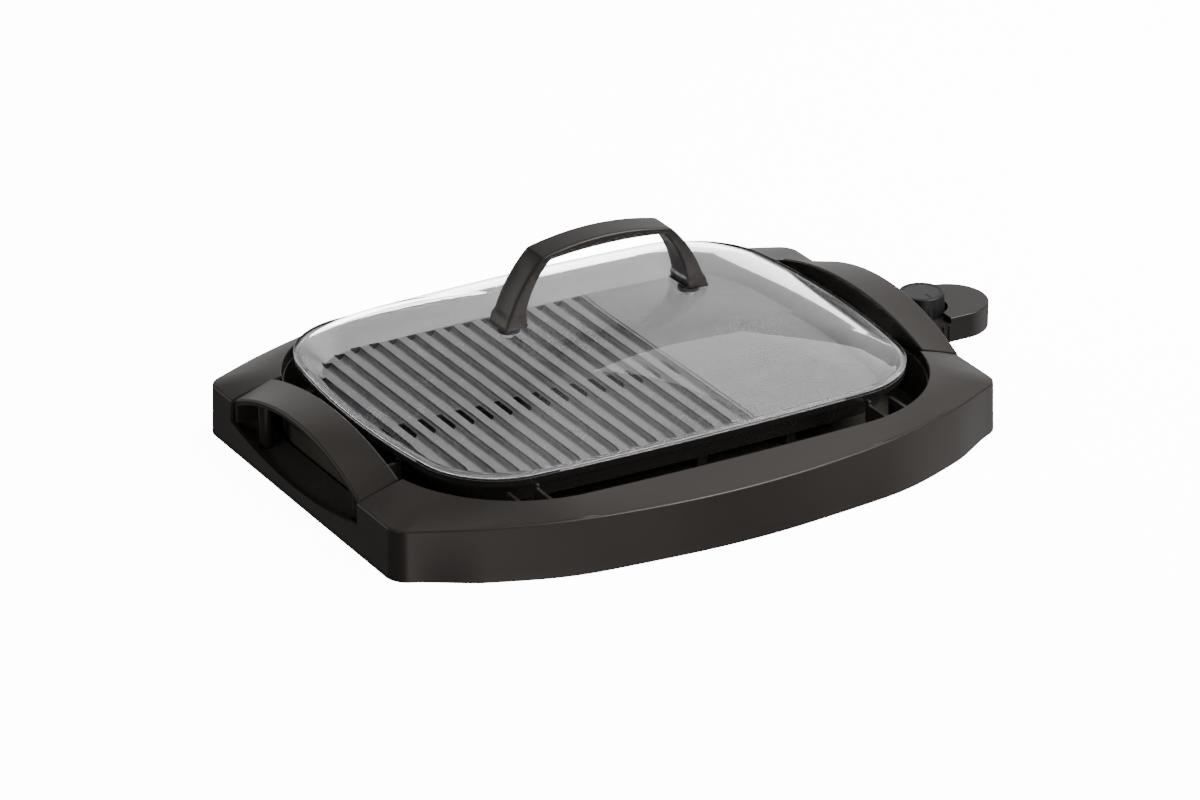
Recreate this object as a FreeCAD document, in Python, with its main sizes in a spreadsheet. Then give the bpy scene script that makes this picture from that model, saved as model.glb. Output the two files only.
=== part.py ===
"""Electric griddle: a bowed plastic base with arched end handles, a lift-off ribbed cooking plate,
a domed glass lid with a bridge handle, a drip tray and a plug-in thermostat control.

Millimetres, +Z up, +X towards the thermostat control. The origin is on the surface that the feet
stand on, below the centre of the cooking plate.
"""
import FreeCAD, Part
import math
import os

import Sketcher
from FreeCAD import Placement, Rotation, Vector

doc = FreeCAD.newDocument("ElectricGriddle")
sheet = doc.addObject("Spreadsheet::Sheet", "Dims")

DIMENSIONS = {
    # base
    "base_half_length": 250.0,
    "base_half_width": 202.0,
    "base_bow": 560.0,
    "base_flare": 8.5,
    "base_foot_bow": 498.0,
    "base_corner": 18.0,
    "base_centre": -8.5,
    "base_foot_gap": 1.0,
    "base_wall_height": 39.5,
    "deck_height": 50.0,
    "base_draft": 1.2,
    "base_wall": 2.8,
    "opening_half_length": 217.0,
    "opening_half_width": 175.3,
    "opening_bow": 3000.0,
    "opening_corner": 106.0,
    "skirt_wall": 2.5,
    "skirt_bottom": 26.0,
    "notch_half_width": 98.0,
    "notch_floor": 10.5,
    "notch_seat": 44.0,
    "dip_low": 12.5,
    "dip_radius": 452.6,
    # end handles
    "grip_half_width": 96.2,
    "grip_outer_crown": 62.5,
    "grip_outer_spring": 40.0,
    "grip_inner_crown": 65.0,
    "grip_inner_spring": 50.4,
    "grip_bottom": 23.0,
    "grip_skin": 4.0,
    "grip_boss_y": 72.0,
    "grip_boss_x": 236.0,
    "grip_boss_radius": 5.5,
    # bottom cover, feet and liner
    "cover_low": 2.0,
    "cover_thick": 2.5,
    "foot_radius": 9.0,
    "foot_recess": 0.6,
    "foot_x": 205.0,
    "foot_y": 134.0,
    "liner_floor": 8.0,
    "liner_top": 42.0,
    "liner_sheet": 1.2,
    "liner_gap": 0.4,
    # heating
    "element_level": 27.0,
    "element_radius": 3.5,
    "pin_radius": 2.5,
    "pin_y": 14.0,
    "rod_level": 20.4,
    "rod_radius": 3.0,
    "rod_tip_x": 140.0,
    # cooking plate
    "plate_half_length": 188.0,
    "plate_half_width": 137.5,
    "plate_bottom": 31.0,
    "plate_ridge": 40.0,
    "rim_half_length": 204.3,
    "rim_half_width": 152.5,
    "rim_low": 49.5,
    "rim_top": 54.0,
    "rim_corner": 63.4,
    "rim_side_bow": 2900.0,
    "rim_end_bow": 620.0,
    "land_height": 1.0,
    "valley_pitch": 15.55,
    "valley_radius": 4.2,
    "valley_last_x": 55.0,
    "valley_count": 16,
    "valley_half_length": 131.0,
    "valley_reach": 183.0,
    "valley_corner": 58.0,
    "slot_half_length": 9.5,
    "slot_radius": 3.1,
    "slot_centre": -6.0,
    "divider_x": 61.0,
    # drip tray
    "tray_half_length": 127.0,
    "tray_half_width": 51.0,
    "tray_centre_x": -61.0,
    "tray_low": 9.6,
    "tray_high": 26.0,
    # lid
    "lid_half_length": 205.1,
    "lid_half_width": 153.3,
    "lid_corner": 64.2,
    "lid_low": 55.2,
    "lid_bead": 4.6,
    "dome_rise": 44.0,
    "dome_power": 2.5,
    "glass": 4.0,
    "lid_screw_x": 75.0,
    # lid handle
    "bridge_top": 157.0,
    "bridge_under": 150.0,
    "bridge_top_bow": 219.0,
    "bridge_under_bow": 400.0,
    "bridge_corner": 8.0,
    "bridge_corner_inner": 4.5,
    "bridge_half_depth": 12.2,
    # thermostat control
    "control_x": 304.8,
    "control_radius": 29.8,
    "control_low": 13.5,
    "control_split": 24.0,
    "control_top": 34.0,
    "control_deck": 29.5,
    "control_wall": 2.0,
    "nose_start": 221.0,
    "nose_end": 251.0,
    "nose_half_width": 22.0,
    "knob_x": 279.3,
    "knob_radius": 18.0,
    "knob_top": 46.2,
    "spindle_radius": 3.0,
    "gland_bore": 3.75,
}

for row, (alias, number) in enumerate(DIMENSIONS.items(), start=1):
    sheet.set(f"A{row}", alias)
    sheet.set(f"B{row}", str(number))
    sheet.setAlias(f"B{row}", alias)
doc.recompute()

SUBPARTS = []


# ---------------------------------------------------------------- expressions and primitives


def words(expression):
    """Puts the sheet's name before each alias, so that sizes can be written in plain words."""
    text = str(expression)
    for alias in sorted(DIMENSIONS, key=len, reverse=True):
        text = text.replace(alias, "@" + str(list(DIMENSIONS).index(alias)) + "@")
    for index, alias in enumerate(DIMENSIONS):
        text = text.replace(f"@{index}@", "Dims." + alias)
    return text


def value(expression):
    """The number that an expression of the sheet's cells has now."""
    result = sheet.evalExpression(words(expression))
    return float(getattr(result, "Value", result))


def bind(thing, **properties):
    for name, expression in properties.items():
        thing.setExpression(name.replace("__", "."), words(expression))


def put(thing, x=0, y=0, z=0, rotation=None):
    if rotation is not None:
        thing.Placement = Placement(Vector(), rotation)
    for axis, expression in zip("xyz", (x, y, z)):
        thing.setExpression(f"Placement.Base.{axis}", words(expression))
    return thing


def box(name, x, y, z):
    """A box from pairs of low and high expressions along each axis."""
    thing = doc.addObject("Part::Box", name)
    bind(thing, Length=f"({x[1]}) - ({x[0]})", Width=f"({y[1]}) - ({y[0]})", Height=f"({z[1]}) - ({z[0]})")
    return put(thing, x[0], y[0], z[0])


ALONG = {
    "x": Rotation(Vector(0, 1, 0), 90),
    "y": Rotation(Vector(1, 0, 0), -90),
    "z": Rotation(),
}


def rod(name, radius, length, x=0, y=0, z=0, along="z"):
    thing = doc.addObject("Part::Cylinder", name)
    bind(thing, Radius=radius, Height=length)
    return put(thing, x, y, z, ALONG[along])


def cone(name, low_radius, high_radius, height, x=0, y=0, z=0):
    thing = doc.addObject("Part::Cone", name)
    bind(thing, Radius1=low_radius, Radius2=high_radius, Height=height)
    return put(thing, x, y, z)


def ball(name, radius, x=0, y=0, z=0):
    thing = doc.addObject("Part::Sphere", name)
    bind(thing, Radius=radius)
    return put(thing, x, y, z)


def fuse(name, *pieces):
    thing = doc.addObject("Part::MultiFuse", name)
    thing.Shapes = list(pieces)
    return thing


def common(name, *pieces):
    thing = doc.addObject("Part::MultiCommon", name)
    thing.Shapes = list(pieces)
    return thing


def cut(name, base, *tools):
    thing = doc.addObject("Part::Cut", name)
    thing.Base = base
    thing.Tool = tools[0] if len(tools) == 1 else fuse(name + "_tools", *tools)
    return thing


def group(name, pieces):
    thing = doc.addObject("Part::Compound", name)
    thing.Links = list(pieces)
    return thing


def rounded(name, base, radius, wanted):
    """Fillets the edges of base that wanted(edge) picks."""
    doc.recompute()
    thing = doc.addObject("Part::Fillet", name)
    thing.Base = base
    edges = [i for i, edge in enumerate(base.Shape.Edges, start=1) if wanted(edge)]
    thing.Edges = [(i, radius, radius) for i in edges]
    return thing


def extrude(name, sketch, height):
    thing = doc.addObject("Part::Extrusion", name)
    thing.Base = sketch
    thing.DirMode = "Normal"
    thing.Solid = True
    bind(thing, LengthFwd=height)
    return thing


def loft(name, sections, ruled=True):
    thing = doc.addObject("Part::Loft", name)
    thing.Sections = sections
    thing.Solid = True
    thing.Ruled = ruled
    return thing


def subpart(name, thing):
    """Registers an object as a finished piece under its own label."""
    thing.Label = name
    SUBPARTS.append(thing)
    return thing


# ---------------------------------------------------------------- outlines


def arc(centre, radius, start, end):
    circle = Part.Circle(Vector(centre[0], centre[1], 0), Vector(0, 0, 1), radius)
    return Part.ArcOfCircle(circle, start, end)


def corner_centre(length, width, side, end, corner):
    """Centre of the arc that rounds the corner between a bowed side and a bowed end."""
    side_y, side_r = width - side, side - corner
    end_x, end_r = length - end, end - corner
    span = math.hypot(end_x, side_y)
    along = (side_r**2 - end_r**2 + span**2) / (2 * span)
    off = math.sqrt(side_r**2 - along**2)
    ux, uy = end_x / span, -side_y / span
    return ux * along + uy * off, side_y + uy * along - ux * off


STRAIGHT = 40000.0


def outline(name, length, width, side, corner, end=STRAIGHT, level=0, centre=0):
    """A rounded rectangle in plan with bowed sides: eight arcs, each tangent to the next."""
    sketch = doc.addObject("Sketcher::SketchObject", name)
    put(sketch, 0, centre, level)
    half_length, half_width = value(length), value(width)
    side_r, end_r, corner_r = value(side), value(end), value(corner)
    cx, cy = corner_centre(half_length, half_width, side_r, end_r, corner_r)
    tilt_side = math.atan2(cy - (half_width - side_r), cx)
    tilt_end = math.atan2(cy, cx - (half_length - end_r))
    turn = math.pi / 2
    arcs = [
        arc((half_length - end_r, 0), end_r, -tilt_end, tilt_end),
        arc((cx, cy), corner_r, tilt_end, tilt_side),
        arc((0, half_width - side_r), side_r, tilt_side, 2 * turn - tilt_side),
        arc((-cx, cy), corner_r, 2 * turn - tilt_side, 2 * turn - tilt_end),
        arc((end_r - half_length, 0), end_r, 2 * turn - tilt_end, 2 * turn + tilt_end),
        arc((-cx, -cy), corner_r, 2 * turn + tilt_end, 2 * turn + tilt_side),
        arc((0, side_r - half_width), side_r, 2 * turn + tilt_side, 4 * turn - tilt_side),
        arc((cx, -cy), corner_r, -tilt_side, -tilt_end),
    ]
    sketch.addGeometry(arcs, False)
    for i in range(8):
        sketch.addConstraint(Sketcher.Constraint("Coincident", i, 2, (i + 1) % 8, 1))
    radii = {0: end, 1: corner, 2: side, 3: corner, 4: end, 5: corner, 6: side, 7: corner}
    for i, expression in radii.items():
        number = sketch.addConstraint(Sketcher.Constraint("Radius", i, value(expression)))
        sketch.setExpression(f"Constraints[{number}]", words(expression))
    return sketch


def scaled(name, factor, level, inset=0):
    """The lid's outline shrunk towards its centre, for the sections of the dome."""
    return outline(
        name,
        f"(lid_half_length - {inset}) * {factor}",
        f"(lid_half_width - {inset}) * {factor}",
        f"(rim_side_bow - {inset}) * {factor}",
        f"(lid_corner - {inset}) * {factor}",
        f"(rim_end_bow - {inset}) * {factor}",
        level,
    )


def base_outline(name, inset, level, flare="0", bow="base_bow"):
    return outline(
        name,
        f"base_half_length - ({inset})",
        f"base_half_width + {flare} - ({inset})",
        f"{bow} - ({inset})",
        f"base_corner - ({inset})",
        level=level,
        centre="base_centre",
    )


def foot_outline(name, inset, level):
    """The base's outline at its lower edge, where the front and back walls flare out."""
    return base_outline(name, inset, level, "base_flare", "base_foot_bow")


def opening_outline(name, inset, level):
    return outline(
        name,
        f"opening_half_length - ({inset})",
        f"opening_half_width - ({inset})",
        f"opening_bow - ({inset})",
        f"opening_corner - ({inset})",
        level=level,
        centre="base_centre",
    )


def opening_prism(name, inset, low, high):
    return extrude(name, opening_outline(name + "_plan", inset, low), f"({high}) - ({low})")


def profile(name, plane, points, position=0):
    """A closed outline in a vertical plane: (u, v) corners, or (u, v, (mid_u, mid_v)) to arrive by an arc."""
    sketch = doc.addObject("Sketcher::SketchObject", name)
    if plane == "xz":
        put(sketch, 0, position, 0, Rotation(Vector(1, 0, 0), 90))
    elif plane == "yz":
        put(sketch, position, 0, 0, Rotation(Vector(1, 1, 1), 120))
    else:
        put(sketch, 0, 0, position)
    corners = [Vector(value(p[0]), value(p[1]), 0) for p in points]
    for i, point in enumerate(points):
        start, end = corners[i - 1], corners[i]
        if len(point) == 3:
            middle = Vector(value(point[2][0]), value(point[2][1]), 0)
            sketch.addGeometry(Part.Arc(start, middle, end), False)
        else:
            sketch.addGeometry(Part.LineSegment(start, end), False)
    for i, point in enumerate(points):
        is_line = len(point) == 2
        for kind, coordinate in (("DistanceX", 0), ("DistanceY", 1)):
            distance = corners[i][coordinate]
            if is_line and abs(distance) > 1e-6:
                number = sketch.addConstraint(Sketcher.Constraint(kind, -1, 1, i, 2, distance))
                sketch.setExpression(f"Constraints[{number}]", words(point[coordinate]))
    return sketch


def lies_at(edge, z=None, x=None, y=None, tolerance=0.2):
    """True when the whole edge lies at the height, or in the plane, that is asked for."""
    bounds = edge.BoundBox
    wanted = ((z, bounds.ZMin, bounds.ZMax), (x, bounds.XMin, bounds.XMax), (y, bounds.YMin, bounds.YMax))
    return all(
        level is None or (abs(low - level) < tolerance and abs(high - level) < tolerance)
        for level, low, high in wanted
    )


# ---------------------------------------------------------------- base


COVER_SCREWS = [(sx * x, y) for sx in (-1, 1) for x, y in ((120, 172.4), (232, 112), (120, -189.3), (232, -129))]
LINER_SCREWS = [(sx * 120, sy * 90 - 8.5) for sx in (-1, 1) for sy in (-1, 1)]
CONTROL_GAP = ("-28.2", "28.2")
CONTROL_RISE = ("10.9", "36.2")


def base_frame():
    outer = fuse(
        "frame_outer",
        loft("frame_wall", [foot_outline("wall_low", 0, "base_foot_gap"),
                            base_outline("wall_high", "base_draft", "base_wall_height")]),
        loft("frame_deck", [base_outline("deck_low", "base_draft", "base_wall_height"),
                            opening_outline("deck_high", 4, "deck_height + 1.5")]),
    )
    inner = fuse(
        "frame_inner",
        loft("frame_hollow", [foot_outline("hollow_low", "base_wall", "0"),
                              base_outline("hollow_high", "base_wall + base_draft", "base_wall_height - base_wall")]),
        loft("frame_roof", [base_outline("roof_low", "base_wall + base_draft", "base_wall_height - base_wall"),
                            opening_outline("roof_high", "1 - skirt_wall", "deck_height - base_wall - 0.8")]),
    )
    shell = cut("frame_shell", outer, inner)
    skirt = cut(
        "frame_skirt",
        opening_prism("skirt_outer", "-skirt_wall", "skirt_bottom", "deck_height - 1.5"),
        opening_prism("skirt_inner", 0, "skirt_bottom - 1", "deck_height + 5"),
    )
    pockets = []
    for side, sign in (("left", -1), ("right", 1)):
        low, high = sorted((sign * (value("opening_half_length") + 1.0), sign * 252.0))
        pockets.append(box(f"{side}_pocket", (low, high), ("-notch_half_width - 2.5", "notch_half_width + 2.5"),
                           ("notch_floor - 2.5", "deck_height")))
    pocket_walls = common("pocket_walls", fuse("pocket_pair", *pockets), outer)
    bosses = []
    for i, (x, y) in enumerate(COVER_SCREWS):
        bosses.append(rod(f"frame_boss_{i}", 4.5, 60, x, y, "cover_low + cover_thick"))
    ribs = []
    for i, (x, y, top) in enumerate(rib_places()):
        ribs.append(box(f"well_rib_{i}", x, y, ("skirt_bottom + 6", top)))
    rib_set = common("rib_set", fuse("well_ribs", *ribs), opening_prism("rib_room", "-1", 0, 60))
    body = fuse("frame_body", shell, skirt, pocket_walls, common("frame_bosses", fuse("frame_boss_rods", *bosses), outer), rib_set)
    tools = [opening_prism("opening_cut", 0, "notch_seat", "deck_height + 8")]
    for side, sign in (("left", -1), ("right", 1)):
        def span(near, far):
            return tuple(sorted((sign * value(near), sign * value(far))))
        tools.append(box(f"{side}_notch", span("opening_half_length - 0.5", "base_half_length + 8"),
                         ("-notch_half_width", "notch_half_width"), ("notch_seat", "deck_height + 30")))
        tools.append(box(f"{side}_void", span("opening_half_length + 3", "base_half_length - base_wall - 0.5"),
                         ("-notch_half_width", "notch_half_width"), ("notch_floor", "deck_height + 30")))
        bar = box(f"{side}_dip_bar", span("base_half_length - 8", "base_half_length + 8"),
                  ("-notch_half_width", "notch_half_width"), ("0", "deck_height + 30"))
        drum = rod(f"{side}_dip_drum", "dip_radius", 20, sign * 250 - 10, 0, "dip_low + dip_radius", "x")
        tools.append(common(f"{side}_dip", bar, drum))
        for j, y in enumerate((-1, 1)):
            tools.append(rod(f"{side}_grip_hole_{j}", 1.9, 12, f"{sign} * grip_boss_x", f"{y} * grip_boss_y",
                             "notch_floor - 6"))
    tools.append(box("control_gap", ("opening_half_length - 3", "opening_half_length + 5"),
                     CONTROL_GAP, CONTROL_RISE))
    for i, (x, y) in enumerate(COVER_SCREWS):
        tools.append(rod(f"frame_pilot_{i}", 1.35, 14, x, y, "cover_low + cover_thick - 1"))
    frame = cut("frame_cut", body, *tools)
    crest = value("base_wall_height")
    return subpart("base_frame", rounded("base_frame", frame, 1.2, lambda e: is_crest(e, crest)))


def rib_places():
    """Upright ribs inside the well, as (x range, y range, top): the plate's rim stands on their tips."""
    places = []
    for sx in (-1, 1):
        for x, tip in ((137, 147.3), (158, 145.2)):
            across = tuple(sorted((sx * (x - 1.5), sx * (x + 1.5))))
            for sy in (-1, 1):
                places.append((across, tuple(sorted((sy * tip, sy * 190))), 46))
                if x == 137:
                    places.append((across, tuple(sorted((sy * tip, sy * (tip + 4)))), "rim_low - 0.2"))
        for y in (-65, 65):
            across = (y - 1.5, y + 1.5)
            places.append((tuple(sorted((sx * 198.9, sx * 219))), across, 46))
            places.append((tuple(sorted((sx * 198.9, sx * 202.5))), across, "rim_low - 0.2"))
    return places


def is_crest(edge, level):
    """The outer rim of the side walls, without the stretches that the notches cut away."""
    bounds = edge.BoundBox
    return abs(bounds.ZMin - level) < 0.05 and abs(bounds.ZMax - level) < 0.05 and edge.Length > 12


def handle_cover(side, sign):
    """An arched grip: top skin, end cheeks, an inner wall over the skirt and two screw bosses."""
    def arch(name, x, half, crown, spring, low):
        return profile(name, "yz", [
            (f"-({half})", low),
            (half, low),
            (half, spring),
            (f"-({half})", spring, ("0", crown)),
        ], f"{sign} * ({x})")

    def grip(name, skin, near, far, low):
        half = f"grip_half_width - {skin}"
        return loft(name, [
            arch(name + "_near", near, half, f"grip_inner_crown - {skin}", f"grip_inner_spring - {skin}", low),
            arch(name + "_far", far, half, f"grip_outer_crown - {skin}", f"grip_outer_spring - {skin}", low),
        ])

    outer = grip(f"{side}_grip_outer", "0", "opening_half_length", "base_half_length - base_draft", "grip_bottom")
    hollow = grip(f"{side}_grip_hollow", "grip_skin", "opening_half_length + 3", "base_half_length + 2",
                  "grip_bottom - 2")
    shell = cut(f"{side}_grip_shell", outer, hollow)
    seat = tuple(sorted((sign * (value("opening_half_length") - 2), sign * (value("opening_half_length") + 3.2))))
    below = box(f"{side}_grip_below", seat, ("-grip_half_width - 2", "grip_half_width + 2"),
                ("grip_bottom - 2", "notch_seat"))
    bosses = []
    for j, y in enumerate((-1, 1)):
        bosses.append(rod(f"{side}_grip_boss_{j}", "grip_boss_radius", "60 - notch_floor",
                          f"{sign} * grip_boss_x", f"{y} * grip_boss_y", "notch_floor"))
    gussets = []
    for j, y in enumerate((-30, 0, 30)):
        far = tuple(sorted((sign * 219.0, sign * 233.0)))
        gussets.append(box(f"{side}_gusset_{j}", far, (y - 1, y + 1), ("48", "70")))
    inside = common(f"{side}_grip_inside", fuse(f"{side}_grip_extras", *bosses, *gussets), outer_full(side, sign))
    body = fuse(f"{side}_grip_body", cut(f"{side}_grip_trim", shell, below), inside)
    pilots = [rod(f"{side}_grip_pilot_{j}", 1.35, 16, f"{sign} * grip_boss_x", f"{y} * grip_boss_y",
                  "notch_floor - 1") for j, y in enumerate((-1, 1))]
    finished = cut(f"{side}_grip_cut", body, *pilots)
    def soft(edge):
        bounds = edge.BoundBox
        outer_x = abs(abs(bounds.Center.x) - (value("base_half_length") - value("base_draft"))) < 0.3
        inner_x = abs(abs(bounds.Center.x) - value("opening_half_length")) < 0.3
        arched = bounds.YLength > 150 and bounds.ZMin > 38
        return arched and (outer_x or inner_x) and bounds.XLength < 0.3
    return subpart(f"{side}_handle_cover", rounded(f"{side}_handle_cover", finished, 1.5, soft))


def outer_full(side, sign):
    """Everything below the top face of a grip, down to the floor of its notch."""
    def arch(name, x, crown, spring):
        return profile(name, "yz", [
            ("-grip_half_width", "notch_floor"),
            ("grip_half_width", "notch_floor"),
            ("grip_half_width", f"{spring} - 1"),
            ("-grip_half_width", f"{spring} - 1", ("0", f"{crown} - 1")),
        ], f"{sign} * ({x})")
    return loft(f"{side}_grip_room", [
        arch(f"{side}_room_near", "opening_half_length", "grip_inner_crown", "grip_inner_spring"),
        arch(f"{side}_room_far", "base_half_length - base_draft", "grip_outer_crown", "grip_outer_spring"),
    ])


def screw(name, x, y, head_z, length, shank=1.35, head=3.0, head_height=2.2):
    """A pan-head screw driven upwards: its head hangs below head_z, its shank rises from there."""
    shank_rod = rod(name + "_shank", shank, f"{length} + {head_height}", x, y, f"{head_z} - {head_height}")
    head_disc = rod(name + "_head", head, head_height, x, y, f"{head_z} - {head_height}")
    socket = box(name + "_slot", (f"{x} - 2", f"{x} + 2"), (f"{y} - 0.4", f"{y} + 0.4"),
                 (f"{head_z} - {head_height} - 1", f"{head_z} - {head_height} + 0.9"))
    return cut(name, fuse(name + "_blank", shank_rod, head_disc), socket)


def fasteners():
    grips = [screw(f"handle_screw_{i}", f"{sx} * grip_boss_x", f"{sy} * grip_boss_y", "notch_floor - 2.5", 14)
             for i, (sx, sy) in enumerate(((-1, -1), (-1, 1), (1, -1), (1, 1)))]
    subpart("handle_screws", group("handle_screws", grips))
    covers = [screw(f"cover_screw_{i}", x, y, "cover_low + 1.6", 12, head_height=1.4)
              for i, (x, y) in enumerate(COVER_SCREWS)]
    subpart("cover_screws", group("cover_screws", covers))
    liners = [screw(f"liner_screw_{i}", x, y, "cover_low + 1.6", 5.0, head_height=1.4)
              for i, (x, y) in enumerate(LINER_SCREWS)]
    subpart("liner_screws", group("liner_screws", liners))


def bottom_cover():
    plan = base_outline("cover_plan", "base_wall + 0.3", "cover_low", "base_flare - 1.2", "base_foot_bow")
    plate = extrude("cover_plate", plan, "cover_thick")
    posts = [rod(f"cover_post_{i}", 6, "liner_floor - cover_low", x, y, "cover_low")
             for i, (x, y) in enumerate(LINER_SCREWS)]
    tools = []
    for i, (x, y) in enumerate(COVER_SCREWS + LINER_SCREWS):
        tools.append(rod(f"cover_hole_{i}", 1.5, 12, x, y, 0))
        tools.append(rod(f"cover_sink_{i}", 3.4, "1.6 + 1", x, y, "cover_low - 1"))
    for i, (sx, sy) in enumerate(foot_places()):
        x, y = f"{sx} * foot_x", f"base_centre + {sy} * foot_y"
        tools.append(rod(f"cover_foot_hole_{i}", 3, 12, x, y, 0))
        tools.append(rod(f"cover_foot_seat_{i}", "foot_radius + 0.6", "foot_recess + 1", x, y, "cover_low - 1"))
    for row in (-1, 1):
        for column in range(11):
            x = (column - 5) * 16
            tools.append(box(f"vent_{row + 1}_{column}", (x - 1.5, x + 1.5),
                             (row * 70 - 8.5 - 14, row * 70 - 8.5 + 14), ("0", "12")))
    return subpart("bottom_cover", cut("bottom_cover", fuse("cover_blank", plate, *posts), *tools))


def foot_places():
    return [(sx, sy) for sx in (-1, 1) for sy in (-1, 1)]


def rubber_feet():
    feet = []
    for i, (sx, sy) in enumerate(foot_places()):
        x, y = f"{sx} * foot_x", f"base_centre + {sy} * foot_y"
        pad = cone(f"foot_pad_{i}", "foot_radius - 1", "foot_radius", "cover_low + foot_recess", x, y, 0)
        stem = rod(f"foot_stem_{i}", 3, "cover_thick + cover_low", x, y, 0)
        barb = cone(f"foot_barb_{i}", 4.0, 2.4, 1.5, x, y, "cover_low + cover_thick")
        feet.append(fuse(f"foot_{i}", pad, stem, barb))
    return subpart("rubber_feet", group("rubber_feet", feet))


def well_liner():
    blank = opening_prism("liner_blank", "liner_gap", "liner_floor", "liner_top")
    hollow = opening_prism("liner_hollow", "liner_gap + liner_sheet", "liner_floor + liner_sheet", "liner_top + 5")
    gap = box("liner_gap_cut", ("opening_half_length - 5", "opening_half_length + 5"), CONTROL_GAP, CONTROL_RISE)
    holes = [rod(f"liner_hole_{i}", 1.35, 12, x, y, 0) for i, (x, y) in enumerate(LINER_SCREWS)]
    notches = [box(f"liner_rib_slot_{i}", (x[0] - 0.6, x[1] + 0.6), (y[0] - 0.6, y[1] + 0.6),
                   ("skirt_bottom + 5", "liner_top + 5")) for i, (x, y, top) in enumerate(rib_places())]
    return subpart("well_liner", cut("well_liner", blank, hollow, gap, *holes, *notches))


def heating_element():
    """A tubular element bent into two loops, with a clear lane between them for the drip tray."""
    level, tube = value("element_level"), value("element_radius")
    route = [(196, 14), (172, 14), (172, 112), (-173, 112), (-173, 66), (127, 66)]
    route = route + [(x, -y) for x, y in reversed(route)]
    bend = 22.0
    edges, here = [], Vector(*route[0], level)
    for before, corner, after in zip(route, route[1:], route[2:]):
        corner_at = Vector(*corner, level)
        back = (Vector(*before, level) - corner_at).normalize()
        ahead = (Vector(*after, level) - corner_at).normalize()
        tangent_in, tangent_out = corner_at + back * bend, corner_at + ahead * bend
        middle = corner_at + (back + ahead) * bend - (back + ahead).normalize() * bend
        if (tangent_in - here).Length > 0.01:
            edges.append(Part.LineSegment(here, tangent_in).toShape())
        edges.append(Part.Arc(tangent_in, middle, tangent_out).toShape())
        here = tangent_out
    edges.append(Part.LineSegment(here, Vector(*route[-1], level)).toShape())
    path = Part.Wire(edges)
    section = Part.Wire(Part.Circle(Vector(*route[0], level), Vector(1, 0, 0), tube).toShape())
    thing = doc.addObject("Part::Feature", "heating_element")
    thing.Shape = path.makePipeShell([section], True, False)
    return subpart("heating_element", thing)


def element_brackets():
    places = [(sx, sy * y) for sx in (-120, 20, 95) for sy in (-1, 1) for y in (112, 66)]
    clips = []
    for i, (x, y) in enumerate(places):
        web = box(f"clip_web_{i}", (x - 4, x + 4), (y - 0.8, y + 0.8), ("liner_floor + liner_sheet", "element_level"))
        foot = box(f"clip_foot_{i}", (x - 4, x + 4), (y - 7, y + 7),
                   ("liner_floor + liner_sheet", "liner_floor + 2 * liner_sheet"))
        cradle = box(f"clip_cradle_{i}", (x - 4, x + 4), (y - 4.7, y + 4.7), ("element_level - 4.7", "element_level"))
        bore = rod(f"clip_bore_{i}", "element_radius", 12, x - 6, y, "element_level", "x")
        clips.append(cut(f"clip_{i}", fuse(f"clip_blank_{i}", web, foot, cradle), bore))
    return subpart("element_brackets", group("element_brackets", clips))


def terminals():
    block = box("terminal_blank", ("196", "211"), ("-24", "24"), ("liner_floor + liner_sheet", "element_level + 4"))
    bores = [rod(f"terminal_bore_{i}", "pin_radius", 30, 190, f"{s} * pin_y", "element_level", "x")
             for i, s in enumerate((-1, 1))]
    guide = rod("terminal_guide", "rod_radius + 0.6", 30, 190, 0, "rod_level", "x")
    subpart("terminal_block", cut("terminal_block", block, *bores, guide))
    pins = []
    for i, s in enumerate((-1, 1)):
        shaft = rod(f"pin_shaft_{i}", "pin_radius", 40, 196, f"{s} * pin_y", "element_level", "x")
        tip = ball(f"pin_tip_{i}", "pin_radius", 236, f"{s} * pin_y", "element_level")
        pins.append(fuse(f"pin_{i}", shaft, tip))
    subpart("terminal_pins", group("terminal_pins", pins))
    strap_foot = box("strap_foot", ("176", "196"), ("26", "36"),
                     ("liner_floor + liner_sheet", "liner_floor + 2 * liner_sheet"))
    strap_riser = box("strap_riser", ("194.8", "196"), ("18", "36"), ("liner_floor + liner_sheet", "22"))
    subpart("earth_strap", fuse("earth_strap", strap_foot, strap_riser))
    collar = box("shroud_outer", ("212.5", "222.5"), CONTROL_GAP, CONTROL_RISE)
    passage = box("shroud_passage", ("205", "230"), ("-nose_half_width - 0.7", "nose_half_width + 0.7"),
                  ("control_low - 0.7", "control_top + 0.7"))
    subpart("socket_shroud", cut("socket_shroud", collar, passage))


# ---------------------------------------------------------------- cooking plate and tray


def rim_outline(name, inset, level):
    return outline(name, f"rim_half_length - ({inset})", f"rim_half_width - ({inset})", "rim_side_bow",
                   f"rim_corner - ({inset})", "rim_end_bow", level)


def valley_places():
    """Centre and half length of each valley: those near the end stop at the plate's rounded corner."""
    pitch, full, corner = value("valley_pitch"), value("valley_half_length"), value("valley_corner")
    places = []
    for i in range(int(value("valley_count"))):
        x = value("valley_last_x") - pitch * i
        into = max(0.0, -x - (value("valley_reach") - corner))
        places.append((x, full - corner + math.sqrt(corner**2 - into**2)))
    return places


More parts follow.
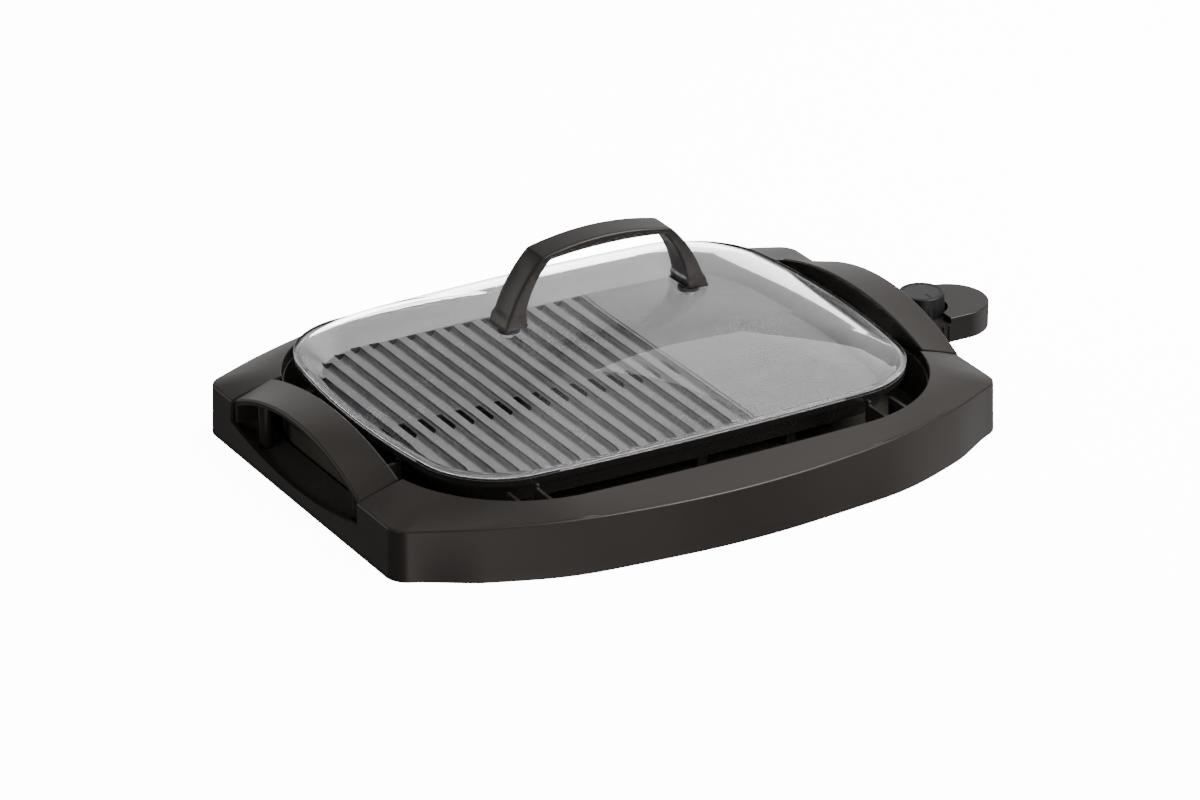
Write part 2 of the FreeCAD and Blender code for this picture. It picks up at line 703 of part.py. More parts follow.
def slots(name, places, radius, low, high):
    """Upright prisms with round ends, long in Y, one at each (x, centre, half length)."""
    sketch = doc.addObject("Sketcher::SketchObject", name + "_plan")
    put(sketch, 0, 0, low)
    for x, centre, half in places:
        first = len(sketch.Geometry)
        r, reach = value(radius), half - value(radius)
        sketch.addGeometry(Part.LineSegment(Vector(x + r, centre - reach, 0), Vector(x + r, centre + reach, 0)), False)
        sketch.addGeometry(arc((x, centre + reach), r, 0, math.pi), False)
        sketch.addGeometry(Part.LineSegment(Vector(x - r, centre + reach, 0), Vector(x - r, centre - reach, 0)), False)
        sketch.addGeometry(arc((x, centre - reach), r, math.pi, 2 * math.pi), False)
        for k in range(4):
            sketch.addConstraint(Sketcher.Constraint("Coincident", first + k, 2, first + (k + 1) % 4, 1))
        for k in (1, 3):
            number = sketch.addConstraint(Sketcher.Constraint("Radius", first + k, r))
            sketch.setExpression(f"Constraints[{number}]", words(radius))
    return extrude(name, sketch, f"({high}) - ({low})")


def cooking_plate():
    pan = loft("plate_pan", [
        outline("pan_low", "plate_half_length", "plate_half_width", "rim_side_bow", 50, "rim_end_bow", "plate_bottom"),
        rim_outline("pan_high", 2.8, "rim_low + 0.5"),
    ])
    band = extrude("plate_band", rim_outline("band_plan", 0, "rim_low"), "rim_top - rim_low")
    hollow = loft("plate_hollow", [
        outline("hollow_floor", "plate_half_length - 4.5", "plate_half_width - 4.5", "rim_side_bow", 45.5,
                "rim_end_bow", "plate_ridge"),
        rim_outline("hollow_top", 4.5, "rim_top + 1.2"),
    ])
    lands = []
    for i, (sx, sy) in enumerate(foot_places()):
        far = [(sx * 118, sx * 210), (sy * 86, sy * 160)]
        lands.append(box(f"land_box_{i}", tuple(sorted(far[0])), tuple(sorted(far[1])),
                         ("rim_top - 0.5", "rim_top + land_height")))
    land_ring = common("plate_lands", fuse("land_boxes", *lands),
                       extrude("land_prism", rim_outline("land_plan", 0.6, "rim_low"), 20))
    body = fuse("plate_body", pan, band, land_ring)
    ridge, radius = "plate_ridge", "valley_radius"
    tools = [hollow]
    for i, (x, half) in enumerate(valley_places()):
        tools.append(rod(f"valley_{i}", radius, 2 * half, x, -half, ridge, "y"))
    half_slot = value("slot_half_length") + value("slot_radius")
    drains = [(x, value("slot_centre"), half_slot) for x, half in valley_places()]
    tools.append(slots("drain_slots", drains, "slot_radius", "plate_bottom - 2", "plate_ridge + 2"))
    tools.append(box("divider_groove", ("divider_x", "divider_x + 1.2"),
                     ("-plate_half_width + 6", "plate_half_width - 6"), ("plate_ridge - 0.8", "plate_ridge + 1")))
    return subpart("cooking_plate", cut("cooking_plate", body, *tools))


def drip_tray():
    """A narrow pan that stands on the liner between the element's loops, under the drain slots."""
    def plan(name, inset, level):
        return outline(name, f"tray_half_length - {inset}", f"tray_half_width - {inset}", 3000,
                       f"14 - {inset}", 3000, level)

    def shift(thing):
        bind(thing, Placement__Base__x="tray_centre_x", Placement__Base__y="slot_centre")
        return thing

    outer = loft("tray_outer", [shift(plan("tray_floor", 5, "tray_low")), shift(plan("tray_mouth", 1.5, "tray_high"))])
    inner = loft("tray_inner", [shift(plan("tray_in_floor", 6.2, "tray_low + 1.2")),
                                shift(plan("tray_in_mouth", 2.5, "tray_high + 2"))])
    lip = extrude("tray_lip", shift(plan("tray_lip_plan", 0, "tray_high - 1.2")), 1.2)
    return subpart("drip_tray", cut("drip_tray", fuse("tray_blank", outer, lip), inner))


# ---------------------------------------------------------------- lid


def dome(name, inset, base_level):
    """The dome: sections of the lid's outline that shrink as they rise by a power law."""
    factors = (0.985, 0.93, 0.85, 0.75, 0.63, 0.5, 0.36, 0.22, 0.1, 0.04)
    first = scaled(f"{name}_rim", 1.0, base_level, inset)
    sections = [first]
    for i, factor in enumerate(factors):
        rise = f"dome_rise * (1 - {factor} ^ dome_power)"
        sections.append(scaled(f"{name}_{i}", factor, f"({base_level}) + 1 + {rise}", inset))
    return loft(name, sections, ruled=False)


def lid_glass():
    skin = dome("dome_outer", "1.2", "lid_low + lid_bead - 2")
    hollow = dome("dome_inner", "1.2 + glass", "lid_low + lid_bead - 2 - glass - 1")
    bead = rounded("lid_bead_round", extrude("lid_bead_ring", scaled("bead_plan", 1.0, "lid_low"), "lid_bead"), 2.0,
                   lambda e: e.BoundBox.ZLength < 0.1)
    under = extrude("lid_under", scaled("under_plan", 1.0, "lid_low - 3", 6.5), "lid_bead + 1")
    holes = [rod(f"lid_hole_{i}", 3.0, 60, f"{s} * lid_screw_x", 0, 70) for i, s in enumerate((-1, 1))]
    body = cut("lid_body", fuse("lid_blank", skin, bead), hollow, under)
    return subpart("lid_glass", cut("lid_glass", body, *holes))


def circle_through(a, b, c):
    """Centre and radius of the circle through three points of a plane."""
    edge = Part.Arc(Vector(*a, 0), Vector(*b, 0), Vector(*c, 0)).toShape()
    return edge.Curve.Center, edge.Curve.Radius


def bridge_outline(name, leg, crown, bow, corner):
    """One side of the bridge seen from the front: a bowed leg, a tight corner and a bowed top, mirrored."""
    foot, knee, shoulder = leg
    leg_centre, leg_radius = circle_through(foot, knee, shoulder)
    top_radius, corner_radius = value(bow), value(corner)
    top_centre = Vector(0, value(crown) - top_radius, 0)
    span = (leg_centre - top_centre).Length
    leg_reach, top_reach = leg_radius - corner_radius, top_radius - corner_radius
    along = (top_reach**2 - leg_reach**2 + span**2) / (2 * span)
    toward = (leg_centre - top_centre).normalize()
    off = math.sqrt(top_reach**2 - along**2)
    centre = top_centre + toward * along + Vector(-toward.y, toward.x, 0) * off
    if centre.x < 0 or centre.y < foot[1]:
        centre = top_centre + toward * along - Vector(-toward.y, toward.x, 0) * off
    low = Vector(*foot, 0)
    tilt_foot = math.atan2(low.y - leg_centre.y, low.x - leg_centre.x)
    tilt_leg = math.atan2(centre.y - leg_centre.y, centre.x - leg_centre.x)
    tilt_top = math.atan2(centre.y - top_centre.y, centre.x - top_centre.x)
    pi = math.pi
    sketch = doc.addObject("Sketcher::SketchObject", name)
    put(sketch, 0, "bridge_half_depth", 0, Rotation(Vector(1, 0, 0), 90))
    sketch.addGeometry([
        Part.LineSegment(Vector(-foot[0], foot[1], 0), low),
        arc(leg_centre, leg_radius, tilt_foot, tilt_leg),
        arc(centre, corner_radius, tilt_leg, tilt_top),
        arc(top_centre, top_radius, tilt_top, pi - tilt_top),
        arc((-centre.x, centre.y), corner_radius, pi - tilt_top, pi - tilt_leg),
        arc((-leg_centre.x, leg_centre.y), leg_radius, pi - tilt_leg, pi - tilt_foot),
    ], False)
    for i in range(6):
        sketch.addConstraint(Sketcher.Constraint("Coincident", i, 2, (i + 1) % 6, 1))
    for i, expression in ((2, corner), (3, bow), (4, corner)):
        number = sketch.addConstraint(Sketcher.Constraint("Radius", i, value(expression)))
        sketch.setExpression(f"Constraints[{number}]", words(expression))
    return extrude(name + "_block", sketch, "2 * bridge_half_depth")


def lid_handle():
    """A bridge grip: leaning legs and a slightly arched bar, seated on the dome through two gaskets."""
    outside = bridge_outline("bridge_outside", ((84.6, 94), (71.7, 127.6), (54, 150)), "bridge_top",
                             "bridge_top_bow", "bridge_corner")
    window = bridge_outline("bridge_window", ((68.3, 94), (62.4, 124.8), (47, 147.2)), "bridge_under",
                            "bridge_under_bow", "bridge_corner_inner")
    outer_soft = rounded("bridge_soft", outside, 3.6, lambda e: abs(e.BoundBox.YLength) < 0.1 and e.BoundBox.ZMax > 95)
    soft_bar = cut("bridge_bar", outer_soft, window)
    seat = dome("bridge_seat", "1.2", "lid_low + lid_bead - 2 + 1.0")
    pilots = [rod(f"bridge_pilot_{i}", 2.0, 26, f"{s} * lid_screw_x", 0, 85) for i, s in enumerate((-1, 1))]
    seated = cut("bridge_seated", soft_bar, seat)
    subpart("lid_handle", cut("lid_handle", seated, *pilots))
    return seat


def lid_fixings(seat):
    """Gaskets above and below the glass, washers and screws at both feet of the handle."""
    upper, lower, washers, screws = [], [], [], []
    inner_roof = dome("gasket_roof", "1.2 + glass", "lid_low + lid_bead - 2 - glass - 1")
    for i, s in enumerate((-1, 1)):
        x = f"{s} * lid_screw_x"
        pad = box(f"gasket_pad_{i}", (s * 75.0 - 9.0, s * 75.0 + 9.0), ("-12.5", "12.5"), ("90", "120"))
        hole = rod(f"gasket_hole_{i}", 3.0, 60, x, 0, 80)
        upper.append(cut(f"upper_gasket_{i}", common(f"upper_gasket_blank_{i}", pad, seat),
                         dome(f"gasket_under_{i}", "1.2", "lid_low + lid_bead - 2"), hole))
        disc = rod(f"lower_disc_{i}", 8, 30, x, 0, 92.0)
        lower.append(cut(f"lower_gasket_{i}", common(f"lower_gasket_blank_{i}", disc, inner_roof),
                         rod(f"lower_hole_{i}", 2.0, 60, x, 0, 60)))
        ring = rod(f"washer_disc_{i}", 7, 1.2, x, 0, 90.8)
        washers.append(cut(f"washer_{i}", ring, rod(f"washer_hole_{i}", 2.0, 10, x, 0, 86)))
        screws.append(screw(f"lid_screw_{i}", x, "0", "90.8", 18, shank=2.0, head=4.2, head_height=2.6))
    subpart("lid_handle_gaskets", group("lid_handle_gaskets", upper + lower))
    subpart("lid_handle_washers", group("lid_handle_washers", washers))
    subpart("lid_handle_screws", group("lid_handle_screws", screws))


# ---------------------------------------------------------------- thermostat control


def control_plan(name, inset, level):
    """Plan of the control: a plug nose, a straight body and a round end, less an inset."""
    reach = f"(control_radius - {inset})"
    nose = f"(nose_half_width - {inset})"
    return profile(name, "xy", [
        (f"nose_start + {inset}", f"-{nose}"),
        (f"nose_end + {inset}", f"-{nose}"),
        (f"nose_end + {inset}", f"-{reach}"),
        ("control_x", f"-{reach}"),
        ("control_x", f"{reach}", (f"control_x + {reach}", "0")),
        (f"nose_end + {inset}", f"{reach}"),
        (f"nose_end + {inset}", f"{nose}"),
        (f"nose_start + {inset}", f"{nose}"),
    ], level)


CONTROL_SCREWS = ((255.5, 25.5), (255.5, -25.5), (325, 0))


def control_posts(prefix, radius, low, high):
    return [rod(f"{prefix}_{i}", radius, f"({high}) - ({low})", x, y, low)
            for i, (x, y) in enumerate(CONTROL_SCREWS)]


def control_shells():
    upper_blank = extrude("upper_blank", control_plan("upper_plan", 0, "control_split"), "control_top - control_split")
    upper_soft = rounded("upper_soft", upper_blank, 1.2, lambda e: lies_at(e, z=value("control_top")))
    deck = fuse("deck_cut",
                box("deck_box", ("nose_end", "287"), ("-40", "40"), ("control_deck", "control_top + 2")),
                rod("deck_ring", "knob_radius + 2.2", 20, "knob_x", 0, "control_deck"))
    room_low = extrude("room_low", control_plan("room_low_plan", "control_wall", "control_split - 1"),
                       "control_deck - control_wall - control_split + 1")
    room_high = common("room_high",
                       extrude("room_high_prism", control_plan("room_high_plan", "control_wall", "control_split - 1"),
                               "control_top - control_wall - control_split + 1"),
                       fuse("room_high_boxes",
                            box("room_end_box", ("304", "340"), ("-40", "40"), ("control_split - 1", "control_top")),
                            box("room_nose_box", ("200", "nose_end - control_wall"), ("-40", "40"),
                                ("control_split - 1", "control_top"))))
    pin_holes = [rod(f"nose_hole_{i}", "pin_radius + 1.5", 12, 215, f"{s} * pin_y", "element_level", "x")
                 for i, s in enumerate((-1, 1))]
    spindle_hole = rod("spindle_hole", "spindle_radius + 0.06", 20, "knob_x", 0, "control_split")
    lens_hole = rod("lens_hole", 2.6, 20, 256, 0, "control_split")
    gland_hole = rod("gland_hole", 6.0, 20, 300, 20, "control_split", "y")
    upper_posts = fuse("upper_posts", *control_posts("upper_post", 3.2, "control_split", "control_top - 1"))
    upper_pilots = control_posts("upper_pilot", 1.1, "control_split - 1", "control_split + 4.5")
    ribs = [box(f"side_rib_{i}_{j}", (x - 1, x + 1), tuple(sorted((s * 29.0, s * 30.8))),
                ("control_low + 2", "control_deck - 1.5"))
            for i, s in enumerate((-1, 1)) for j, x in enumerate((276, 281, 286))]
    lower_ribs = [common(f"lower_rib_{i}", rib, box(f"rib_low_{i}", ("200", "340"), ("-40", "40"),
                                                   ("0", "control_split"))) for i, rib in enumerate(ribs)]
    upper_ribs = [common(f"upper_rib_{i}", rib, box(f"rib_high_{i}", ("200", "340"), ("-40", "40"),
                                                   ("control_split", "60"))) for i, rib in enumerate(ribs)]
    upper = cut("control_body_upper",
                fuse("upper_shell", cut("upper_hollow", upper_soft, room_low, room_high), upper_posts, *upper_ribs),
                deck, *pin_holes, spindle_hole, lens_hole, gland_hole, *upper_pilots)
    subpart("control_body_upper", upper)
    lower_blank = extrude("lower_blank", control_plan("lower_plan", 0, "control_low"), "control_split - control_low")
    lower_soft = rounded("lower_soft", lower_blank, 1.2, lambda e: lies_at(e, z=value("control_low")))
    lower_room = extrude("lower_room", control_plan("lower_room_plan", "control_wall", "control_low + control_wall"),
                         "control_split")
    lower_posts = control_posts("lower_post", 3.2, "control_low + 1", "control_split")
    lower_tools = [
        rod("lower_rod_hole", "rod_radius", 12, 215, 0, "rod_level", "x"),
        rod("lower_gland_hole", 6.0, 20, 300, 20, "control_split", "y"),
        *[rod(f"lower_pin_hole_{i}", "pin_radius + 1.5", 12, 215, f"{s} * pin_y", "element_level", "x")
          for i, s in enumerate((-1, 1))],
        *control_posts("lower_through", 1.5, "control_low - 1", "control_split + 1"),
        *control_posts("lower_sink", 2.6, "control_low - 1", "control_low + 2"),
    ]
    lower = cut("control_body_lower",
                fuse("lower_shell", cut("lower_hollow", lower_soft, lower_room), *lower_posts, *lower_ribs),
                *lower_tools)
    subpart("control_body_lower", lower)
    screws = [screw(f"control_screw_{i}", x, y, "control_low + 2", 12.5, shank=1.1, head=2.3, head_height=1.4)
              for i, (x, y) in enumerate(CONTROL_SCREWS)]
    subpart("control_screws", group("control_screws", screws))


def control_inside():
    stem = rod("rod_stem", "rod_radius", "248 - rod_tip_x - rod_radius", "rod_tip_x + rod_radius", 0, "rod_level", "x")
    tip = ball("rod_tip", "rod_radius", "rod_tip_x + rod_radius", 0, "rod_level")
    collar = rod("rod_collar", 5.0, 3.0, 223, 0, "rod_level", "x")
    subpart("sensor_rod", fuse("sensor_rod", stem, tip, collar))
    sleeves = []
    for i, s in enumerate((-1, 1)):
        tube = rod(f"sleeve_tube_{i}", "pin_radius + 1.4", 20, 223.2, f"{s} * pin_y", "element_level", "x")
        bore = rod(f"sleeve_bore_{i}", "pin_radius + 0.05", 17, 222, f"{s} * pin_y", "element_level", "x")
        sleeves.append(cut(f"contact_sleeve_{i}", tube, bore))
    subpart("contact_sleeves", group("contact_sleeves", sleeves))
    floor = "control_low + control_wall"
    frame_foot = box("frame_foot", ("258", "300"), ("-9", "9"), (floor, f"{floor} + 1.5"))
    frame_post = box("frame_post", ("292", "300"), ("-9", "9"), (floor, "21.4"))
    subpart("thermostat_frame", fuse("thermostat_frame", frame_foot, frame_post))
    subpart("bimetal_blade", box("bimetal_blade", ("262", "300"), ("-4", "4"), ("21.4", "22.0")))
    leaf = box("leaf_strip", ("250", "291"), ("-4", "4"), ("18.6", "19.1"))
    rivet = rod("leaf_rivet", 1.5, 1.2, 266, 0, "19.1")
    subpart("contact_leaf", fuse("contact_leaf", leaf, rivet))
    subpart("leaf_insulator", box("leaf_insulator", ("284", "291"), ("-6", "6"), (f"{floor} + 1.5", "18.6")))
    subpart("adjuster_pin", rod("adjuster_pin", 1.2, 1.4, "knob_x", 0, "23.5"))
    lens_dome = common("lens_cap", ball("lens_ball", 4.0, 256, 0, "control_deck - 2.4"),
                       rod("lens_stock", 2.6, 8, 256, 0, "control_deck - 1.9"))
    subpart("indicator_lens", lens_dome)
    bulb = fuse("bulb", rod("bulb_tube", 2.2, 4.5, 256, 0, "21.5"), ball("bulb_tip", 1.2, 256, 0, "26"))
    subpart("indicator_lamp", bulb)
    gland_tube = rod("gland_tube", 6.0, 9.0, 300, 25.0, "control_split", "y")
    gland_collar = rod("gland_collar", 7.6, 3.0, 300, 29.8, "control_split", "y")
    gland_bore = rod("gland_through", "gland_bore", 40, 300, 10, "control_split", "y")
    subpart("cord_gland", cut("cord_gland", fuse("gland_blank", gland_tube, gland_collar), gland_bore))


def control_knob():
    """A grip knob with a raised rim and flutes, on a spindle that turns in the upper shell."""
    low = "control_deck + 0.4"
    drum = cone("knob_drum", "knob_radius", "knob_radius - 0.7", f"knob_top - ({low})", "knob_x", 0, low)
    soft = rounded("knob_soft", drum, 1.3, lambda e: lies_at(e, z=value("knob_top")))
    dish = rod("knob_dish", "knob_radius - 4.2", 3, "knob_x", 0, "knob_top - 0.9")
    flutes = []
    for i in range(24):
        angle = math.radians(15 * i)
        x = value("knob_x") + (value("knob_radius") + 0.35) * math.cos(angle)
        y = (value("knob_radius") + 0.35) * math.sin(angle)
        flutes.append(rod(f"flute_{i}", 0.9, 12.5, x, y, "control_deck"))
    socket = rod("knob_socket", "spindle_radius", 12, "knob_x", 0, "control_deck")
    subpart("control_knob", cut("control_knob", soft, dish, *flutes, socket))
    cap = cut("knob_cap", rod("cap_disc", "knob_radius - 4.2", 0.7, "knob_x", 0, "knob_top - 0.9"),
              box("cap_mark", ("knob_x - 0.6", "knob_x + 0.6"), ("-13", "-6"), ("knob_top - 0.5", "knob_top + 1")))
    subpart("knob_cap", cap)
    shaft = rod("spindle_shaft", "spindle_radius", f"({low}) + 10 - 25.6", "knob_x", 0, "25.6")
    flange = rod("spindle_flange", 4.6, 1.4, "knob_x", 0, "25.4")
    subpart("knob_spindle", fuse("knob_spindle", shaft, flange))


# ---------------------------------------------------------------- build and write


def check_document():
    doc.recompute()
    failed = [thing.Label for thing in doc.Objects if {"Invalid", "Error"} & set(thing.State)]
    if failed:
        raise RuntimeError(f"objects that failed: {failed}")
    for thing in SUBPARTS:
        shape = thing.Shape
        if shape.isNull() or not shape.isValid() or not shape.Solids:
            raise RuntimeError(f"{thing.Label} has no valid solid")


def write_parts():
    os.makedirs("parts", exist_ok=True)
    for name in os.listdir("parts"):
        os.remove(os.path.join("parts", name))
    for thing in SUBPARTS:
        thing.Shape.exportStep(os.path.join("parts", thing.Label + ".step"))
        print(f"{thing.Label:24s} solids {len(thing.Shape.Solids):2d}  volume {thing.Shape.Volume:12.1f}", flush=True)


base_frame()
handle_cover("left", -1)
handle_cover("right", 1)
bottom_cover()
rubber_feet()
fasteners()
well_liner()
heating_element()
element_brackets()
terminals()
cooking_plate()
drip_tray()
lid_glass()
lid_fixings(lid_handle())
control_shells()
control_inside()
control_knob()
check_document()
write_parts()
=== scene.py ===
import math

import bmesh
import bpy
import numpy as np
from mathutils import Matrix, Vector


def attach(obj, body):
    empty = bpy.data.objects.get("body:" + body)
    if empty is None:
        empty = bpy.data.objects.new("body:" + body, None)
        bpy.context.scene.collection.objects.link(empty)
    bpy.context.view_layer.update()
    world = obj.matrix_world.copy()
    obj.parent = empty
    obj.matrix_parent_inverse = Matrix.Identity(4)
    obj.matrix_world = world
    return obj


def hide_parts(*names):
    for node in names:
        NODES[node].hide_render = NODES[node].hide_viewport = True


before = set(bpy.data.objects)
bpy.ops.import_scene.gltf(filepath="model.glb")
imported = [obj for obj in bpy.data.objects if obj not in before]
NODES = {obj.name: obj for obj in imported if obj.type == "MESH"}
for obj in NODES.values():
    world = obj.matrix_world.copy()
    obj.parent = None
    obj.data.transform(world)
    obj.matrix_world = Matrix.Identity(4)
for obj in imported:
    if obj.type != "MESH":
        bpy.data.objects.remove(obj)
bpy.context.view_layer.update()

MM = 0.001


# ---------------------------------------------------------------- materials


def node_value(tree, kind, **inputs):
    made = tree.nodes.new(kind)
    for name, number in inputs.items():
        made.inputs[name.replace("_", " ")].default_value = number
    return made


def material(name, colour, rough, spread=0.05, metal=0.0, grain=900.0, bump=0.03, patch=14.0,
             tint=0.12, coat=0.0, coat_rough=0.1, stretch=(1, 1, 1), sheen=(1, 1, 1)):
    """Principled surface with a fine grain in its bump, and slow drifts of roughness and colour."""
    made = bpy.data.materials.new(name)
    made.use_nodes = True
    tree = made.node_tree
    shader = tree.nodes["Principled BSDF"]
    shader.inputs["Metallic"].default_value = metal
    shader.inputs["Coat Weight"].default_value = coat
    shader.inputs["Coat Roughness"].default_value = coat_rough
    shader.inputs["Specular Tint"].default_value = (*sheen, 1)
    place = tree.nodes.new("ShaderNodeTexCoord")
    squeeze = tree.nodes.new("ShaderNodeMapping")
    squeeze.inputs["Scale"].default_value = stretch
    tree.links.new(place.outputs["Object"], squeeze.inputs["Vector"])
    slow = node_value(tree, "ShaderNodeTexNoise", Scale=patch, Detail=4.0, Roughness=0.6)
    fine = node_value(tree, "ShaderNodeTexNoise", Scale=grain, Detail=3.0, Roughness=0.55)
    for noise in (slow, fine):
        tree.links.new(squeeze.outputs["Vector"], noise.inputs["Vector"])
    blend = tree.nodes.new("ShaderNodeMix")
    blend.data_type = "RGBA"
    dark = [c * (1 - tint) for c in colour] + [1]
    light = [min(1, c * (1 + tint)) for c in colour] + [1]
    blend.inputs["A"].default_value = dark
    blend.inputs["B"].default_value = light
    tree.links.new(slow.outputs["Fac"], blend.inputs["Factor"])
    tree.links.new(blend.outputs["Result"], shader.inputs["Base Color"])
    mixed = node_value(tree, "ShaderNodeMath")
    mixed.operation = "ADD"
    tree.links.new(slow.outputs["Fac"], mixed.inputs[0])
    tree.links.new(fine.outputs["Fac"], mixed.inputs[1])
    gloss = node_value(tree, "ShaderNodeMapRange", From_Min=0.6, From_Max=1.4,
                       To_Min=max(0.02, rough - spread), To_Max=min(1.0, rough + spread))
    tree.links.new(mixed.outputs[0], gloss.inputs["Value"])
    tree.links.new(gloss.outputs["Result"], shader.inputs["Roughness"])
    relief = node_value(tree, "ShaderNodeBump", Strength=bump, Distance=0.0005)
    tree.links.new(fine.outputs["Fac"], relief.inputs["Height"])
    tree.links.new(relief.outputs["Normal"], shader.inputs["Normal"])
    return made


def paint_shade_on_sides(made, shade):
    """Painted shade: make the upright faces of a coated plate darker than its level ones, in place of the
    shade on the plate's rim and the sides of its grooves.
    """
    tree = made.node_tree
    shader = tree.nodes["Principled BSDF"]
    level = tree.nodes.new("ShaderNodeNewGeometry")
    split = tree.nodes.new("ShaderNodeSeparateXYZ")
    tree.links.new(level.outputs["True Normal"], split.inputs[0])
    upright = node_value(tree, "ShaderNodeMapRange", From_Min=0.1, From_Max=0.4, To_Min=1.0, To_Max=0.0)
    tree.links.new(split.outputs["Z"], upright.inputs["Value"])
    blend = tree.nodes.new("ShaderNodeMix")
    blend.data_type = "RGBA"
    blend.inputs["B"].default_value = (*shade, 1)
    tree.links.new(upright.outputs["Result"], blend.inputs["Factor"])
    tree.links.new(shader.inputs["Base Color"].links[0].from_socket, blend.inputs["A"])
    tree.links.new(blend.outputs["Result"], shader.inputs["Base Color"])


def clear_material(name, colour, rough, ior=1.45, shade=(0.86, 0.86, 0.86)):
    """Clear glass or plastic; lamps pass through it, so what it covers isn't left black."""
    made = material(name, colour, rough, spread=rough * 0.5, grain=160.0, bump=0.004, patch=6.0,
                    tint=0.01)
    tree = made.node_tree
    shader = tree.nodes["Principled BSDF"]
    shader.inputs["Transmission Weight"].default_value = 1.0
    shader.inputs["IOR"].default_value = ior
    ray = tree.nodes.new("ShaderNodeLightPath")
    clear = node_value(tree, "ShaderNodeBsdfTransparent", Color=(*shade, 1))
    blend = tree.nodes.new("ShaderNodeMixShader")
    tree.links.new(ray.outputs["Is Shadow Ray"], blend.inputs[0])
    tree.links.new(shader.outputs[0], blend.inputs[1])
    tree.links.new(clear.outputs[0], blend.inputs[2])
    tree.links.new(blend.outputs[0], tree.nodes["Material Output"].inputs["Surface"])
    return made


WARM = (1.0, 0.93, 0.89)
MATERIALS = {
    "body": material("satin_body", (0.0205, 0.0175, 0.0160), 0.32, grain=1500, bump=0.05, tint=0.10,
                     sheen=WARM),
    "control": material("satin_control", (0.0180, 0.0158, 0.0145), 0.32, grain=1500, bump=0.05,
                        sheen=WARM),
    "handle": material("satin_handle", (0.0200, 0.0175, 0.0165), 0.32, grain=1500, bump=0.05,
                       sheen=WARM),
    "knob": material("knob_plastic", (0.010, 0.010, 0.010), 0.42, grain=1800, bump=0.08),
    "knob_face": material("knob_face", (0.020, 0.0195, 0.019), 0.35, grain=900, bump=0.04),
    "plate": material("nonstick_plate", (0.105, 0.102, 0.105), 0.26, spread=0.03, grain=700, bump=0.10,
                      tint=0.08, coat=0.3, coat_rough=0.2),
    "tray": material("tray_coating", (0.012, 0.012, 0.012), 0.5, grain=500, stretch=(1, 14, 1)),
    "cover": material("cover_paint", (0.025, 0.025, 0.025), 0.5, grain=700, bump=0.2),
    "steel": material("zinc_steel", (0.55, 0.55, 0.56), 0.32, metal=1.0, grain=800, patch=60),
    "rubber": material("foot_rubber", (0.020, 0.020, 0.020), 0.75, grain=900, bump=0.35),
    "liner": material("liner_coating", (0.060, 0.055, 0.044), 0.45, grain=600, bump=0.12),
    # the body plastic in a lighter colour: painted light on the inside of the grip pockets
    "inner": material("pocket_inside_painted_light", (0.055, 0.048, 0.042), 0.42, grain=1500, bump=0.05,
                      sheen=WARM),
    "bracket": material("coated_bracket", (0.020, 0.019, 0.017), 0.5, grain=600, bump=0.1),
    "element": material("element_sheath", (0.20, 0.19, 0.185), 0.42, metal=0.9, grain=500, patch=40,
                        tint=0.3),
    "ceramic": material("ceramic", (0.72, 0.69, 0.62), 0.6, grain=600, bump=0.25),
    "brass": material("brass", (0.72, 0.55, 0.26), 0.28, metal=1.0, grain=500),
    "glass": clear_material("lid_glass", (0.975, 0.975, 0.98), 0.01, ior=1.25),
    "lens": clear_material("lens", (0.75, 0.12, 0.06), 0.08, shade=(0.8, 0.2, 0.1)),
    "lamp": clear_material("lamp", (0.95, 0.93, 0.90), 0.03),
}

# painted shade on the plate's upright faces: its rim and the sides of its grooves
paint_shade_on_sides(MATERIALS["plate"], (0.012, 0.011, 0.010))

NODE_MATERIALS = {
    "body": "base_frame left_handle_cover right_handle_cover socket_shroud",
    "control": "control_body_upper control_body_lower",
    "handle": "lid_handle",
    "knob": "control_knob",
    "knob_face": "knob_cap",
    "plate": "cooking_plate",
    "cover": "bottom_cover",
    "steel": "handle_screws cover_screws liner_screws earth_strap lid_handle_washers "
             "lid_handle_screws control_screws sensor_rod thermostat_frame bimetal_blade knob_spindle",
    "rubber": "rubber_feet lid_handle_gaskets cord_gland",
    "liner": "well_liner",
    "tray": "drip_tray",
    "bracket": "element_brackets",
    "element": "heating_element",
    "ceramic": "terminal_block leaf_insulator adjuster_pin",
    "brass": "terminal_pins contact_sleeves contact_leaf",
    "glass": "lid_glass",
    "lens": "indicator_lens",
    "lamp": "indicator_lamp",
}

for key, names in NODE_MATERIALS.items():
    for name in names.split():
        for slot in NODES[name].material_slots:
            slot.material = MATERIALS[key]


# ---------------------------------------------------------------- shapes


STRAIGHT = 40000.0


def bowed(length, width, side, corner, end, per=400):
    """A closed outline, anticlockwise from +X: bowed ends and sides joined by round corners."""
    side_y, side_r = width - side, side - corner
    end_x, end_r = length - end, end - corner
    span = math.hypot(end_x, side_y)
    along = (side_r**2 - end_r**2 + span**2) / (2 * span)
    off = math.sqrt(side_r**2 - along**2)
    ux, uy = end_x / span, -side_y / span
    cx, cy = ux * along + uy * off, side_y + uy * along - ux * off
    tilt_side, tilt_end = math.atan2(cy - side_y, cx), math.atan2(cy, cx - end_x)

    def arc(x, y, r, start, stop):
        turn = np.linspace(start, stop, per, endpoint=False)
        return np.stack([x + r * np.cos(turn), y + r * np.sin(turn)], -1)

    quarter = np.concatenate([
        arc(end_x, 0, end, 0, tilt_end),
        arc(cx, cy, corner, tilt_end, tilt_side),
        arc(0, side_y, side, tilt_side, math.pi / 2),
        [[0.0, width]],
    ])
    half = np.concatenate([quarter, (quarter * [-1, 1])[::-1][1:]])
    return np.concatenate([half, (half * [1, -1])[::-1][1:-1]])


